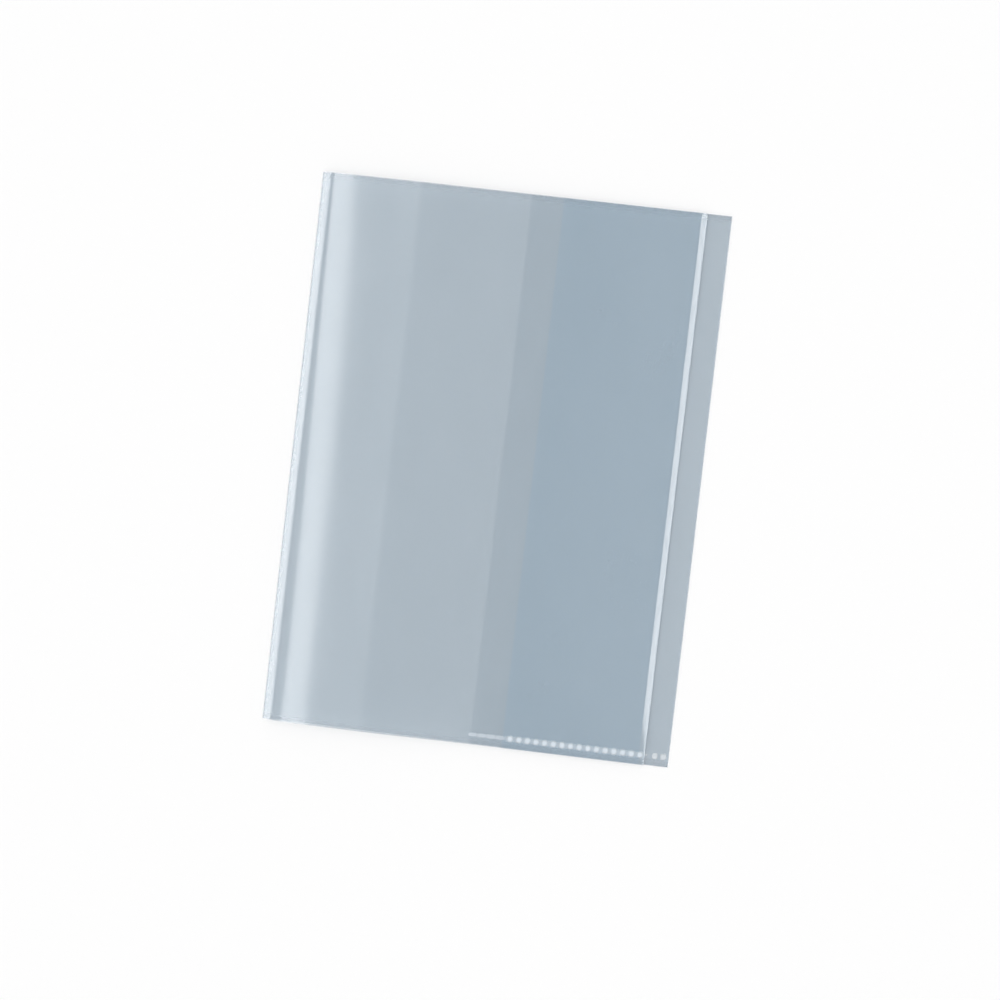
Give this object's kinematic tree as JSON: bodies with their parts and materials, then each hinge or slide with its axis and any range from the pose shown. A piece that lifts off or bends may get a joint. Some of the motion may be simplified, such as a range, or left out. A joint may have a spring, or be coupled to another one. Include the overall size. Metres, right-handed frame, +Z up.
{
  "type": "notebook cover",
  "caption": "Clear plastic film slip-on cover for a notebook or school book, hinged at two spine creases, with a pocket flap folded in at each fore-edge and spot-welded at the tail.",
  "frame": {"origin": "middle of the shut cover on the surface it lies on", "axes": "+X from the spine to the fore-edges, +Y from the tail to the head, +Z up out of the front panel"},
  "size_m": [0.1934, 0.26, 0.0038],
  "materials": {
    "clear_film": "clear film, smooth and slightly hazy",
    "weld": "whitened where the films are fused"
  },
  "bodies": {
    "back_cover": {"back_panel": "clear_film", "back_fore_edge": "clear_film", "back_flap": "clear_film", "back_tail_weld": "weld"},
    "spine": {"spine": "clear_film"},
    "front_cover": {"front_panel": "clear_film", "front_fore_edge": "clear_film", "front_flap": "clear_film", "front_tail_weld": "weld"}
  },
  "joints": [
    {"name": "back_spine_fold", "type": "hinge", "parent": "back_cover", "child": "spine", "pos_m": [-0.09666, 0, 0.00015], "axis": [0, -1, 0], "range_deg": [0, 144]},
    {"name": "front_spine_fold", "type": "hinge", "parent": "spine", "child": "front_cover", "pos_m": [-0.09188, 0, 0.00362], "axis": [0, -1, 0], "range_deg": [0, 36.41]}
  ]
}
